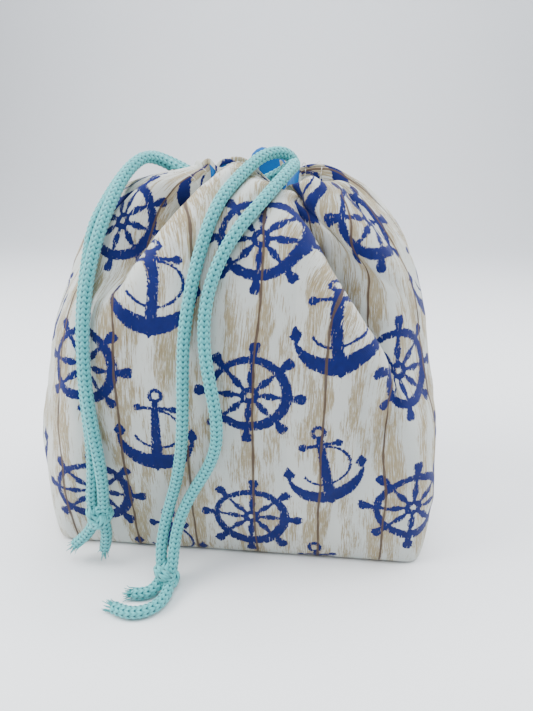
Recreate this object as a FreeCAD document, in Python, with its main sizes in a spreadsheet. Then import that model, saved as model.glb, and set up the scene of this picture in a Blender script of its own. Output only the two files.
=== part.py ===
"""Drawstring knitting bag, drawn closed and standing on its boxed base.

Frame: the origin is the middle of the base on the surface that the bag stands on, +Z is up,
the front of the bag faces -Y and +X is to the right of someone who looks at the front.
All sizes are in millimetres.
"""
import FreeCAD, Part
import Sketcher
import math
import os

from FreeCAD import Placement, Rotation, Vector

doc = FreeCAD.newDocument("knitting_bag")

# ------------------------------------------------------------------ driving dimensions
SIZES = {
    # the filled body of the bag
    "bag_width": 218.0,
    "bag_depth": 136.0,
    "body_height": 193.5,
    "base_width": 190.0,
    "base_depth": 106.0,
    "base_corner": 16.0,
    # cloth, fleece and lining, with the air between them
    "outer_cloth": 0.6,
    "fleece": 1.2,
    "lining_cloth": 0.5,
    "layer_gap": 0.15,
    # seams
    "seam_thread": 0.6,
    "side_seam_foot": 1.2,
    "side_seam_head": 184.0,
    "boxing_seam_inset": 1.3,
    "boxing_seam_length": 68.0,
    # casings round the drawn mouth, and the two cord lanes in each
    "cord": 6.0,
    "cord_fit": 0.1,
    "casing_cloth": 1.2,
    "casing_left": -31.0,
    "casing_length": 43.0,
    "casing_round": 1.5,
    "lane_offset": 9.0,
    "lane_pitch": 6.6,
    "slide_gap": 0.3,
    # stitches
    "stitch_length": 2.4,
    "stitch_pitch": 3.4,
    "stitch_thread": 0.4,
    "stitch_margin": 1.6,
    # knots
    "knot_width": 13.6,
    "knot_height": 14.2,
    "knot_clearance": 0.15,
}

# Level, width, depth and corner radius of each section above the base, as shares of
# body_height, bag_width, bag_depth and bag_depth.
SECTIONS = {
    "lower": (0.130, 0.963, 0.875, 0.250),
    "belly": (0.260, 1.000, 0.941, 0.324),
    "waist": (0.550, 0.908, 1.000, 0.412),
    "chest": (0.757, 0.826, 0.897, 0.404),
    "shoulder": (0.914, 0.716, 0.721, 0.331),
    "neck": (0.971, 0.615, 0.574, 0.265),
    "roof": (1.000, 0.514, 0.426, 0.206),
}

# Routes of the free cord ends. Each starts at its exit from a casing and ends in its knot.
LEFT_FRONT_STRAND = [
    (-31.0, -9.0, 204.4), (-36.0, -9.0, 204.4), (-41.5, -10.4, 207.4), (-46.5, -14.6, 208.8),
    (-50.2, -21.2, 205.4), (-53.6, -28.4, 199.4), (-56.4, -37.2, 190.4), (-59.2, -46.8, 179.0),
    (-62.8, -54.6, 163.8), (-65.2, -60.8, 147.6), (-66.2, -66.6, 128.6), (-65.8, -70.8, 107.4),
    (-64.2, -73.0, 87.0), (-62.6, -73.6, 69.0), (-62.4, -73.0, 54.4), (-63.2, -72.7, 42.8),
    (-63.4, -72.4, 34.0),
]
LEFT_BACK_STRAND = [
    (-31.0, 9.0, 204.4), (-36.2, 9.0, 204.4), (-41.6, 6.4, 207.2), (-46.0, 0.4, 209.4),
    (-49.4, -7.0, 208.8), (-53.4, -14.4, 205.2), (-57.4, -22.8, 198.2), (-61.2, -33.4, 188.6),
    (-65.4, -43.2, 176.8), (-68.2, -49.0, 161.0), (-70.6, -55.0, 144.6), (-71.8, -60.4, 127.2),
    (-71.8, -65.4, 108.2), (-70.8, -69.4, 88.8), (-69.6, -71.6, 71.2), (-69.4, -72.4, 55.4),
    (-69.9, -72.2, 43.0), (-69.8, -72.4, 34.0),
]
RIGHT_FRONT_STRAND = [
    (12.0, -9.0, 197.8), (17.5, -9.0, 197.8), (23.5, -10.8, 199.0), (27.8, -15.0, 200.8),
    (28.6, -21.2, 200.4), (26.0, -29.2, 198.6), (21.4, -38.0, 194.4), (15.2, -46.4, 187.6),
    (7.4, -53.2, 179.0), (0.4, -58.6, 168.0), (-4.9, -62.8, 155.2), (-7.6, -67.0, 141.0),
    (-7.4, -71.0, 126.0), (-4.8, -73.6, 110.5), (-2.2, -74.4, 95.0), (-2.4, -73.6, 79.5),
    (-7.2, -72.2, 65.5), (-14.6, -71.6, 53.0), (-21.2, -72.2, 40.5), (-25.0, -74.6, 28.4),
    (-26.1, -78.4, 18.6), (-26.4, -82.0, 10.4),
]
RIGHT_BACK_STRAND = [
    (12.0, 9.0, 197.8), (17.6, 9.0, 197.8), (24.0, 8.0, 199.2), (28.6, 4.0, 202.6),
    (29.0, -1.8, 206.4), (25.0, -7.2, 208.8), (19.4, -12.6, 208.6), (13.6, -18.8, 206.0),
    (8.4, -26.0, 201.8), (3.2, -33.8, 196.4), (-2.0, -43.0, 190.2), (-6.2, -51.2, 181.8),
    (-9.6, -55.8, 171.0), (-12.4, -61.0, 159.4), (-15.0, -65.6, 146.0), (-17.0, -69.8, 130.0),
    (-17.6, -73.0, 111.5), (-18.4, -74.0, 92.0), (-20.4, -73.2, 73.5), (-24.0, -72.0, 56.5),
    (-28.6, -71.8, 41.5), (-32.0, -74.0, 28.2), (-33.0, -77.8, 18.0), (-32.0, -82.0, 10.2),
]
LEFT_KNOT = (-66.6, -72.4, 33.6)
RIGHT_KNOT = (-29.2, -83.4, 7.3)
LEFT_FRONT_TAIL = [(-64.6, -72.4, 31.0), (-64.2, -71.8, 22.0), (-65.2, -71.2, 15.4), (-67.2, -70.8, 8.8)]
LEFT_BACK_TAIL = [(-69.0, -72.4, 31.0), (-72.4, -71.9, 23.4), (-77.4, -71.2, 16.8), (-83.8, -70.6, 10.8)]
RIGHT_FRONT_TAIL = [
    (-27.2, -85.5, 5.6), (-26.6, -92.6, 3.6), (-29.6, -99.8, 3.2), (-36.4, -104.4, 3.1),
    (-44.6, -105.0, 3.2), (-51.2, -102.2, 3.4),
]
RIGHT_BACK_TAIL = [(-31.6, -86.0, 5.6), (-34.4, -90.6, 3.9), (-38.6, -93.0, 3.2), (-44.8, -93.4, 3.2)]

# How close a tube's volume must come to its section times its length.
VOLUME_TOLERANCE = 0.01

sheet = doc.addObject("Spreadsheet::Sheet", "Sizes")


def put_size(row, name, value):
    """Writes one named value into the sheet."""
    sheet.set(f"A{row}", name)
    sheet.set(f"B{row}", str(value))
    sheet.setAlias(f"B{row}", name)


for row, (name, value) in enumerate(SIZES.items(), start=1):
    put_size(row, name, value)
row = len(SIZES) + 1
for section, shares in SECTIONS.items():
    for word, share in zip(("level", "wide", "deep", "round"), shares):
        put_size(row, f"{section}_{word}", share)
        row += 1
doc.recompute()

S = "Sizes."


def size(name):
    """A named value of the sheet, for the pieces whose shape is worked out in code."""
    return float(sheet.get(name))


def bind(piece, **expressions):
    """Ties properties of a piece to expressions; a double underscore stands for a dot."""
    for prop, expression in expressions.items():
        piece.setExpression(prop.replace("__", "."), expression)
    return piece


def place(piece, x="0", y="0", z="0"):
    """Ties a piece's position to three expressions."""
    return bind(piece, Placement__Base__x=x, Placement__Base__y=y, Placement__Base__z=z)


def box(name, length, width, height, x, y, z):
    """A box from its sizes and its lowest corner, all of them expressions."""
    piece = doc.addObject("Part::Box", name)
    bind(piece, Length=length, Width=width, Height=height)
    return place(piece, x, y, z)


def cut(name, base, tool):
    piece = doc.addObject("Part::Cut", name)
    piece.Base = base
    piece.Tool = tool
    return piece


def common(name, base, tool):
    piece = doc.addObject("Part::Common", name)
    piece.Base = base
    piece.Tool = tool
    return piece


def fuse(name, pieces):
    piece = doc.addObject("Part::MultiFuse", name)
    piece.Shapes = pieces
    return piece


# ------------------------------------------------------------------ the body of the bag
def section_sizes(section, inset):
    """Width, depth, corner radius and level of one section of an envelope, as expressions."""
    if section == "base":
        width, depth, corner, level = S + "base_width", S + "base_depth", S + "base_corner", inset
    else:
        width = f"{S}bag_width * {S}{section}_wide"
        depth = f"{S}bag_depth * {S}{section}_deep"
        corner = f"{S}bag_depth * {S}{section}_round"
        level = f"{S}body_height * {S}{section}_level"
    if section == "roof":
        level = f"{level} - ({inset})"
    return f"{width} - 2 * ({inset})", f"{depth} - 2 * ({inset})", f"{corner} - ({inset})", level


def rounded_rectangle(name, width, depth, corner, level):
    """A sketch of a rounded rectangle about the origin, on a level plane."""
    sketch = doc.addObject("Sketcher::SketchObject", name)
    x, y, r = 50.0, 30.0, 10.0
    corners = [(x - r, r - y, -90), (x - r, y - r, 0), (r - x, y - r, 90), (r - x, r - y, 180)]
    ends = []
    for cx, cy, start in corners:
        for turn in (start, start + 90):
            angle = math.radians(turn)
            ends.append(Vector(cx + r * math.cos(angle), cy + r * math.sin(angle), 0))
    for index, (cx, cy, start) in enumerate(corners):
        sketch.addGeometry(Part.LineSegment(ends[2 * index - 1], ends[2 * index]))
        circle = Part.Circle(Vector(cx, cy, 0), Vector(0, 0, 1), r)
        sketch.addGeometry(Part.ArcOfCircle(circle, math.radians(start), math.radians(start + 90)))
    constraint = Sketcher.Constraint
    for index in range(8):
        sketch.addConstraint(constraint("Tangent", index, 2, (index + 1) % 8, 1))
    for line, direction in ((0, "Horizontal"), (2, "Vertical"), (4, "Horizontal"), (6, "Vertical")):
        sketch.addConstraint(constraint(direction, line))
    for arc in (3, 5, 7):
        sketch.addConstraint(constraint("Equal", 1, arc))
    sketch.addConstraint(constraint("Symmetric", 7, 3, 3, 3, -1, 1))
    for kind, geometry, value, label in (
        ("DistanceX", (6, 1, 2, 1), 2 * x, "width"),
        ("DistanceY", (0, 1, 4, 1), 2 * y, "depth"),
        ("Radius", (1,), r, "corner"),
    ):
        number = sketch.addConstraint(constraint(kind, *geometry, value))
        sketch.renameConstraint(number, label)
    bind(sketch, Constraints__width=width, Constraints__depth=depth, Constraints__corner=corner)
    return place(sketch, z=level)


def envelope(name, inset):
    """The closed solid of the whole bag body, drawn in by an inset on every side."""
    loft = doc.addObject("Part::Loft", name)
    sketches = []
    for section in ["base"] + list(SECTIONS):
        sketches.append(rounded_rectangle(f"{name}_{section}", *section_sizes(section, inset)))
    loft.Sections = sketches
    loft.Solid = True
    loft.Ruled = True
    return loft


OUTER_IN = S + "outer_cloth"
FLEECE_OUT = f"{OUTER_IN} + {S}layer_gap"
FLEECE_IN = f"{FLEECE_OUT} + {S}fleece"
LINING_OUT = f"{FLEECE_IN} + {S}layer_gap"
LINING_IN = f"{LINING_OUT} + {S}lining_cloth"

layers = {
    "outer": cut("outer_layer", envelope("outer_outside", "0"), envelope("outer_inside", OUTER_IN)),
    "fleece": cut("fleece_layer", envelope("fleece_outside", FLEECE_OUT),
                  envelope("fleece_inside", FLEECE_IN)),
    "lining": cut("lining_layer", envelope("lining_outside", LINING_OUT),
                  envelope("lining_inside", LINING_IN)),
}

# The mouth: between the two casings, and back under the back casing, which slides off it.
CASING_DEPTH = f"({S}cord + 2 * ({S}cord_fit + {S}casing_cloth))"
CASING_INSIDE = f"({S}lane_offset - {CASING_DEPTH} / 2)"
MOUTH_BACK = f"({S}lane_offset + {CASING_DEPTH} / 2 - {S}casing_cloth)"


def mouth_box(name):
    return box(name, S + "casing_length", f"{CASING_INSIDE} + {MOUTH_BACK}", f"{S}body_height / 4",
               S + "casing_left", f"-{CASING_INSIDE}", f"{S}body_height * 7 / 8")


def half_box(name, side):
    """The half of space in front of the seam plane, or behind it."""
    front = f"-{S}bag_depth" if side == "front" else f"{S}seam_thread / 2"
    return box(name, f"2 * {S}bag_width", f"{S}bag_depth - {S}seam_thread / 2",
               f"2 * {S}body_height", f"-{S}bag_width", front, f"-{S}body_height / 2")


def boxing_box(name, side):
    """The slit along one end of the base, where the boxed corner is sewn across."""
    inner = f"{S}base_width / 2 - {S}boxing_seam_inset - {S}outer_cloth"
    left = inner if side > 0 else f"-({inner}) - {S}seam_thread / 2"
    return box(name, f"{S}seam_thread / 2", S + "boxing_seam_length", f"4 * {S}outer_cloth",
               left, f"-{S}boxing_seam_length / 2", f"-2 * {S}outer_cloth")


NODES = {}


def keep(label, piece):
    """Marks a finished sub-part: its Label names its file."""
    piece.Label = label
    NODES[label] = piece
    return piece


for side in ("front", "back"):
    for layer, label in (("outer", f"outer_{side}_panel"), ("fleece", f"{side}_fleece"),
                         ("lining", f"{side}_lining")):
        half = common(f"{label}_half", layers[layer], half_box(f"{label}_side", side))
        openings = [mouth_box(f"{label}_mouth")]
        if layer == "outer":
            openings.append(boxing_box(f"{label}_left_slit", -1))
            openings.append(boxing_box(f"{label}_right_slit", 1))
            keep(label, cut(f"{label}_cut", half, fuse(f"{label}_openings", openings)))
        else:
            keep(label, cut(f"{label}_cut", half, openings[0]))

# ------------------------------------------------------------------ seams of the body
for side, left in (("left", f"-{S}bag_width"), ("right", "0")):
    strip = box(f"{side}_seam_strip", S + "bag_width", S + "seam_thread",
                f"{S}side_seam_head - {S}side_seam_foot", left, f"-{S}seam_thread / 2",
                S + "side_seam_foot")
    keep(f"{side}_side_seam", common(f"{side}_seam_cut", layers["outer"], strip))
base_strip_length = f"{S}base_width - 2 * ({S}boxing_seam_inset + {S}outer_cloth + {S}seam_thread)"
base_strip = box("base_seam_strip", base_strip_length, S + "seam_thread", f"3 * {S}outer_cloth",
                 f"-({base_strip_length}) / 2", f"-{S}seam_thread / 2", f"-{S}outer_cloth")
keep("base_seam", common("base_seam_cut", layers["outer"], base_strip))
for side, sign in (("left", -1), ("right", 1)):
    keep(f"{side}_boxing_seam",
         common(f"{side}_boxing_cut", layers["outer"], boxing_box(f"{side}_boxing_strip", sign)))
lining_strip = box("lining_seam_strip", f"{base_strip_length} - 2 * ({LINING_IN})", S + "seam_thread",
                   f"2 * ({LINING_IN})", f"-({base_strip_length}) / 2 + {LINING_IN}",
                   f"-{S}seam_thread / 2", "0")
keep("lining_closing_seam", common("lining_seam_cut", layers["lining"], lining_strip))

# ------------------------------------------------------------------ casings and their lanes
LOWER_LANE = f"({S}body_height + {S}casing_cloth + {S}cord_fit + {S}cord / 2)"
UPPER_LANE = f"({LOWER_LANE} + {S}lane_pitch)"
CASING_TOP = f"({UPPER_LANE} + {S}cord / 2 + {S}cord_fit + {S}casing_cloth)"
CASING_RIGHT = f"({S}casing_left + {S}casing_length)"
LANES = {"upper": UPPER_LANE, "lower": LOWER_LANE}


def lane_cylinder(name, radius, y, z):
    """A cylinder along a lane of a casing, from its left end to its right end."""
    cylinder = doc.addObject("Part::Cylinder", name)
    bind(cylinder, Radius=radius, Height=S + "casing_length")
    cylinder.Placement = Placement(Vector(0, 0, 0), Rotation(Vector(0, 1, 0), 90))
    return place(cylinder, S + "casing_left", y, z)


def casing(label, y, lift):
    """A casing: a folded band of cloth with two lanes, one above the other, for the cords."""
    bottom = f"({S}body_height + {lift})"
    band = box(f"{label}_band", S + "casing_length", CASING_DEPTH, f"{CASING_TOP} - {bottom}",
               S + "casing_left", f"{y} - {CASING_DEPTH} / 2", bottom)
    doc.recompute()
    edges = []
    for number, edge in enumerate(band.Shape.Edges, start=1):
        along = edge.Vertexes[1].Point - edge.Vertexes[0].Point
        if abs(along.x) > 1e-6:
            edges.append((number, size("casing_round"), size("casing_round")))
    rounded = doc.addObject("Part::Fillet", f"{label}_rounded")
    rounded.Base = band
    rounded.Edges = edges
    bores = [lane_cylinder(f"{label}_{lane}_bore", f"{S}cord / 2 + {S}cord_fit", y, z)
             for lane, z in LANES.items()]
    return keep(label, cut(f"{label}_cut", rounded, fuse(f"{label}_bores", bores)))


def stitch_row(label, y, z):
    """A straight row of separate stitches along a casing's face."""
    room = size("casing_length") - 2 * size("stitch_margin")
    count = int((room + size("stitch_pitch") - size("stitch_length")) / size("stitch_pitch"))
    start = (f"{S}casing_left + ({S}casing_length - {count} * {S}stitch_pitch"
             f" + {S}stitch_pitch - {S}stitch_length) / 2")
    row_of = doc.addObject("Part::Compound", f"{label}_row")
    row_of.Links = [
        box(f"{label}_{number}", S + "stitch_length", S + "stitch_thread", S + "stitch_thread",
            f"{start} + {number} * {S}stitch_pitch", y, z)
        for number in range(count)
    ]
    return keep(label, row_of)


casing("front_casing", f"-{S}lane_offset", "0")
casing("back_casing", S + "lane_offset", S + "slide_gap")
FACE = f"({S}lane_offset + {CASING_DEPTH} / 2)"
SEWN = f"({S}body_height + {S}slide_gap + {S}casing_round)"
TOP_SEWN = f"({CASING_TOP} - {S}casing_round - {S}stitch_thread)"
stitch_row("front_casing_stitching", f"-{FACE} - {S}stitch_thread", SEWN)
stitch_row("front_top_stitching", f"-{FACE} - {S}stitch_thread", TOP_SEWN)
stitch_row("back_casing_stitching", FACE, SEWN)
stitch_row("back_top_stitching", FACE, TOP_SEWN)

# ------------------------------------------------------------------ cords in the casings
for cord_side, lane in (("left", "upper"), ("right", "lower")):
    for side, sign in (("front", "-"), ("back", "")):
        keep(f"{cord_side}_cord_{side}_run",
             lane_cylinder(f"{cord_side}_{side}_run", S + "cord / 2", f"{sign}{S}lane_offset", LANES[lane]))
# Each cord crosses from one casing to the other at the end away from its own knot.
for cord_side, lane, end, turn in (
    ("left", "upper", CASING_RIGHT, -90),
    ("right", "lower", S + "casing_left", 90),
):
    bend = doc.addObject("Part::Torus", f"{cord_side}_crossing_bend")
    bind(bend, Radius1=S + "lane_offset", Radius2=S + "cord / 2")
    bend.Angle3 = 180
    bend.Placement = Placement(Vector(0, 0, 0), Rotation(Vector(0, 0, 1), turn))
    keep(f"{cord_side}_cord_crossing", place(bend, end, "0", LANES[lane]))

# ------------------------------------------------------------------ free cord ends


def rounded_path(points):
    """Straight runs joined by tangent arcs, with the radius of each arc."""
    corners = [Vector(*point) for point in points]
    edges, radii = [], []
    start = corners[0]
    for before, corner, after in zip(corners, corners[1:], corners[2:]):
        arriving = (corner - before).normalize()
        leaving = (after - corner).normalize()
        turn = arriving.getAngle(leaving)
        reach = 0.45 * min((corner - before).Length, (after - corner).Length)
        radius = reach / math.tan(turn / 2)
        inward = (leaving - arriving).normalize()
        arc_start = corner - arriving * reach
        arc_middle = corner + inward * (radius / math.cos(turn / 2) - radius)
        arc_end = corner + leaving * reach
        edges.append(Part.LineSegment(start, arc_start).toShape())
        edges.append(Part.Arc(arc_start, arc_middle, arc_end).toShape())
        radii.append(radius)
        start = arc_end
    edges.append(Part.LineSegment(start, corners[-1]).toShape())
    return Part.Wire(edges), radii


def tube(label, points):
    """A round cord along a route of straight runs and arcs."""
    path, radii = rounded_path(points)
    first, second = Vector(*points[0]), Vector(*points[1])
    ring = Part.Wire([Part.makeCircle(size("cord") / 2, first, second - first)])
    solid = path.makePipeShell([ring], True, False)
    expected = math.pi * size("cord") ** 2 / 4 * path.Length
    if abs(solid.Volume / expected - 1) > VOLUME_TOLERANCE:
        raise RuntimeError(f"{label}: volume {solid.Volume:.1f}, expected {expected:.1f}")
    radii_text = ", ".join(f"{radius:.0f}" for radius in radii)
    print(f"{label}: length {path.Length:.1f}, smallest radius {min(radii):.1f}, radii {radii_text}")
    return solid


def knot(label, centre):
    """The outer form of an overhand knot tied in both strands."""
    ball = doc.addObject("Part::Ellipsoid", f"{label}_ball")
    bind(ball, Radius1=S + "knot_height / 2", Radius2=S + "knot_width / 2", Radius3=S + "knot_width / 2")
    ball.Angle1 = -90
    ball.Angle2 = 90
    ball.Angle3 = 360
    ball.Placement = Placement(Vector(*centre), Rotation())
    return keep(label, ball)


def knot_room(centre):
    """The knot with the air round it, which the strands and tails stop at."""
    wide = size("knot_width") / 2 + size("knot_clearance")
    tall = size("knot_height") / 2 + size("knot_clearance")
    matrix = FreeCAD.Matrix()
    matrix.scale(wide, wide, tall)
    room = Part.makeSphere(1.0).transformGeometry(matrix)
    room.translate(Vector(*centre))
    return room


def cord_piece(label, points, centre):
    """A strand or a tail, stopped where it meets its knot."""
    solid = tube(label, points).cut(knot_room(centre))
    largest = max(solid.Solids, key=lambda part: part.Volume)
    piece = doc.addObject("Part::Feature", f"{label}_tube")
    piece.Shape = largest
    piece.Placement = Placement()
    return keep(label, piece)


knot("left_knot", LEFT_KNOT)
knot("right_knot", RIGHT_KNOT)
cord_piece("left_front_strand", LEFT_FRONT_STRAND, LEFT_KNOT)
cord_piece("left_back_strand", LEFT_BACK_STRAND, LEFT_KNOT)
cord_piece("right_front_strand", RIGHT_FRONT_STRAND, RIGHT_KNOT)
cord_piece("right_back_strand", RIGHT_BACK_STRAND, RIGHT_KNOT)
cord_piece("left_front_tail", LEFT_FRONT_TAIL, LEFT_KNOT)
cord_piece("left_back_tail", LEFT_BACK_TAIL, LEFT_KNOT)
cord_piece("right_front_tail", RIGHT_FRONT_TAIL, RIGHT_KNOT)
cord_piece("right_back_tail", RIGHT_BACK_TAIL, RIGHT_KNOT)

# ------------------------------------------------------------------ check and write
doc.recompute()
for item in doc.Objects:
    if "Invalid" in item.State or "Error" in item.State:
        raise RuntimeError(f"{item.Name} failed: {item.State}")
for label, piece in NODES.items():
    if piece.Shape.isNull() or not piece.Shape.isValid():
        raise RuntimeError(f"{label} has no valid shape")
os.makedirs("parts", exist_ok=True)
for label, piece in NODES.items():
    piece.Shape.exportStep(f"parts/{label}.step")
    bounds = piece.Shape.BoundBox
    print(f"{label}: {len(piece.Shape.Solids)} solids, {piece.Shape.Volume:.0f} mm3,"
          f" z {bounds.ZMin:.2f} to {bounds.ZMax:.2f}")
print(len(NODES), "sub-parts")
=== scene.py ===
# %% [markdown]
# # A drawstring bag for knitting
# The real object is a small cotton bag on a boxed base. Two knitted cords draw its mouth shut, and their ends hang
# down the front. The imported model is the frame: every piece below is made in its metres and at its place, and the
# knots, the frayed ends and the stitches on the base ride on one of its bodies.

# %% Load the frame
import math
import random

import bpy
import numpy as np
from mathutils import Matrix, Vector


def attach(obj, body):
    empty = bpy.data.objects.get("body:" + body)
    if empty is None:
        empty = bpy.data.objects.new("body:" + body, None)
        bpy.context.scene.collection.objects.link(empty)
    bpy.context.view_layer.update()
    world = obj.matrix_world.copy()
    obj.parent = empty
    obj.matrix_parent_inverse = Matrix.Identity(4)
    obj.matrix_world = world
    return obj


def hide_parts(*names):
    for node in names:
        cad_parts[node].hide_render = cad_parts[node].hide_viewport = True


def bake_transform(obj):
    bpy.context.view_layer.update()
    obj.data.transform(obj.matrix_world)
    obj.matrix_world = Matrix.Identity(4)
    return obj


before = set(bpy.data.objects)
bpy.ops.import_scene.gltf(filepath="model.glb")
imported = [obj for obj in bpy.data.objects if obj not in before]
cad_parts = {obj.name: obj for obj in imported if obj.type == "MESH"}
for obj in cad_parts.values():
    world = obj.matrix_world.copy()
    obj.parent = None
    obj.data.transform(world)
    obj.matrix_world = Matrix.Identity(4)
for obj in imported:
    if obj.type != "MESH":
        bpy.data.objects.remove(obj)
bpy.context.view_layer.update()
MM = 0.001

# %% [markdown]
# ## Camera
# The camera stands a little above the bag's top edge and looks down on it by twenty degrees, from close by, so the
# base looks wider than it is deep. It is set by a place and a direction, which is easier to correct than angles.

# %% Camera
camera_data = bpy.data.cameras.new("camera")
camera = bpy.data.objects.new("camera", camera_data)
bpy.context.scene.collection.objects.link(camera)
bpy.context.scene.camera = camera
camera_data.lens = 25.97
camera_data.sensor_width = 36.0
camera.location = (0.0426, -0.2862, 0.203)
looks_along = Vector((-0.0933, 0.935, -0.342))
camera.rotation_euler = looks_along.to_track_quat("-Z", "Y").to_euler()
print("camera at", tuple(round(c, 3) for c in camera.location))

# %% [markdown]
# ## Colours and nodes
# Cloth colours are given as sRGB hex values, which the renderer wants as linear light. A material is a tree
# of nodes, and one function adds any node: its settings by name, and then what goes into its inputs, in order.
# What goes in is a number, a colour, or another node's output. A node is passed on by its first output.


# %% Colour and node helpers
def linear(hex_colour):
    parts = [int(hex_colour[i:i + 2], 16) / 255 for i in (1, 3, 5)]
    return tuple(p / 12.92 if p <= 0.04045 else ((p + 0.055) / 1.055) ** 2.4 for p in parts) + (1.0,)


def add(tree, kind, *goes_in, **settings):
    """Adds any node. A second word in its kind is its operation, as in "Math ADD"."""
    kind, _, operation = kind.partition(" ")
    made = tree.nodes.new("ShaderNode" + kind)
    if operation:
        made.operation = operation
    output = settings.pop("output", 0)
    named = settings.pop("named", {})
    for name, value in settings.items():
        setattr(made, name, value)
    for socket, value in list(zip(made.inputs, goes_in)) + [(made.inputs[n], v) for n, v in named.items()]:
        if value is None:
            continue
        if isinstance(value, bpy.types.NodeSocket):
            tree.links.new(value, socket)
        else:
            socket.default_value = value
    return made.outputs[output]


def new_material(name, rough, sheen=0.0):
    material = bpy.data.materials.new(name)
    material.use_nodes = True
    shader = material.node_tree.nodes["Principled BSDF"]
    shader.inputs["Roughness"].default_value = rough
    shader.inputs["Specular IOR Level"].default_value = 0.3
    shader.inputs["Sheen Weight"].default_value = sheen
    shader.inputs["Sheen Roughness"].default_value = 0.5
    return material, material.node_tree, shader


def select_only(*pieces):
    bpy.ops.object.select_all(action="DESELECT")
    for piece in pieces:
        piece.select_set(True)
    bpy.context.view_layer.objects.active = pieces[-1]


def apply_modifier(piece, kind, **settings):
    select_only(piece)
    modifier = piece.modifiers.new(kind.lower(), kind)
    for name, value in settings.items():
        setattr(modifier, name, value)
    bpy.ops.object.modifier_apply(modifier=modifier.name)


def finish_piece(piece, material):
    piece.data.materials.clear()
    piece.data.materials.append(material)
    for face in piece.data.polygons:
        face.use_smooth = True


print("off-white is", [round(c, 3) for c in linear("#D9DDD9")])

# %% [markdown]
# ## The knitted cord's finish
# The cord is a tube of knitted polyester, 6 mm across: seven columns of V-shaped stitches, each about 2.7 mm wide and
# 2.6 mm tall, with a small gap between neighbours. The gaps and the grooves between the columns are painted dark teal
# as shade. A tube's own map gives the place around and along it, so the stitches follow every bend. The same map shapes
# the mesh and colours it.

# %% Knitted cord finish
CORD = 6.0
STITCH_COLUMNS = 7
STITCH_TALL = 2.6


def knitted_cord_finish():
    material, tree, shader = new_material("knitted polyester cord", 0.62, 0.25)
    place = add(tree, "UVMap", uv_map="UVMap")
    around = add(tree, "SeparateXYZ", place, output=0)
    along = add(tree, "SeparateXYZ", place, output=1)
    column = add(tree, "Math", around, float(STITCH_COLUMNS), operation="MULTIPLY")
    across = add(tree, "Math", add(tree, "Math", column, operation="FRACT"), 0.5, operation="SUBTRACT")
    away = add(tree, "Math", across, operation="ABSOLUTE")
    row = add(tree, "Math", along, 1000.0 / STITCH_TALL, operation="MULTIPLY")
    lean = add(tree, "Math", away, 1.1, operation="MULTIPLY")
    leg = add(tree, "Math", add(tree, "Math", add(tree, "Math", row, lean, operation="SUBTRACT"), operation="FRACT"),
              0.5, operation="SUBTRACT")
    gap_row = add(tree, "MapRange", add(tree, "Math", leg, operation="ABSOLUTE"), 0.22, 0.38, 0.0, 1.0)
    gap_edge = add(tree, "MapRange", away, 0.20, 0.36, 0.0, 1.0)
    gap = add(tree, "Math", gap_row, gap_edge, operation="MULTIPLY")
    groove = add(tree, "Math", add(tree, "MapRange", away, 0.38, 0.5, 0.0, 0.45), gap, operation="MAXIMUM")
    shaded_gaps = add(tree, "Math", add(tree, "Math", gap_row, 0.42, operation="MULTIPLY"), groove, operation="MAXIMUM")
    yarn = add(tree, "TexNoise", add(tree, "TexCoord", output=3), noise_dimensions="3D",
               named={"Scale": 900.0, "Detail": 2.0})
    tint = add(tree, "MixRGB", yarn, linear("#3DA9AF"), linear("#6FCBCB"))
    # painted shade: the gaps between stitches and the grooves between columns are coloured dark teal, for the shadow
    # that falls in them
    colour = add(tree, "MixRGB", shaded_gaps, tint, linear("#044E58"))
    tree.links.new(colour, shader.inputs["Base Color"])
    height = add(tree, "Math", add(tree, "Math", 1.0, shaded_gaps, operation="SUBTRACT"), yarn, operation="ADD")
    bump = add(tree, "Bump", named={"Strength": 0.5, "Distance": 0.0005, "Height": height})
    tree.links.new(bump, shader.inputs["Normal"])
    return material


cord_finish = knitted_cord_finish()
print("stitches are", STITCH_TALL, "mm tall,", STITCH_COLUMNS, "columns round the cord")

# %% [markdown]
# ## Routes of the cords
# Each cord comes out of the casing as two strands, which run over the shoulder of the bag and down its front. A knot
# holds the two strands together, and the tails hang or lie beyond it. The points are control points of a smooth NURBS
# line, in millimetres. They start from the points in the CAD source, and about a quarter of them were then moved or
# added, so that the cord lies on the fuller cloth. A strand and its tail are one length of cord, which goes through
# the knot.

# %% Cord routes
LEFT_FRONT = [(-25, -7, 199.0), (-31, -8.6, 202.6), (-36, -9, 205.4), (-41.5, -10.4, 208.0), (-46.5, -14.6, 208.8),
              (-50.2, -21.2, 205.4),
              (-53.6, -28.4, 199.4), (-56.4, -37.2, 190.4), (-59.2, -46.8, 179.0),
              (-62.8, -54.6, 163.8), (-65.2, -60.8, 147.6), (-66.2, -66.6, 128.6), (-65.8, -70.8, 107.4), (-64.2,
                      -73.0, 87.0),
              (-62.6, -73.6, 69.0), (-62.4, -73.0, 54.4), (-63.2, -72.7, 42.8), (-64.6, -72.4, 31.0),
              (-64.2, -71.8, 22.0), (-65.2, -71.2, 15.4), (-67.2, -70.8, 8.8)]
LEFT_BACK = [(-25, 7, 199.0), (-31, 8.6, 202.6), (-36.2, 9, 205.0), (-41.6, 6.4, 207.6), (-46.0, 0.4, 209.4),
             (-49.4, -7.0, 208.8),
             (-53.4, -14.4, 205.2), (-57.4, -22.8, 198.2), (-61.2, -33.4, 188.6),
             (-65.4, -43.2, 176.8), (-67.8, -48.8, 161.0), (-69.6, -54.6, 144.6), (-70.0, -59.6, 127.2),
             (-69.6, -64.0, 108.2), (-68.4, -67.4, 88.8), (-67.6, -69.0, 71.2), (-68.2, -70.6, 55.4), (-69.9, -72.2,
                     43.0),
             (-69.0, -72.4, 31.0), (-72.4, -71.9, 23.4), (-77.4, -71.2, 16.8), (-83.8, -70.6, 10.8)]
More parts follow.
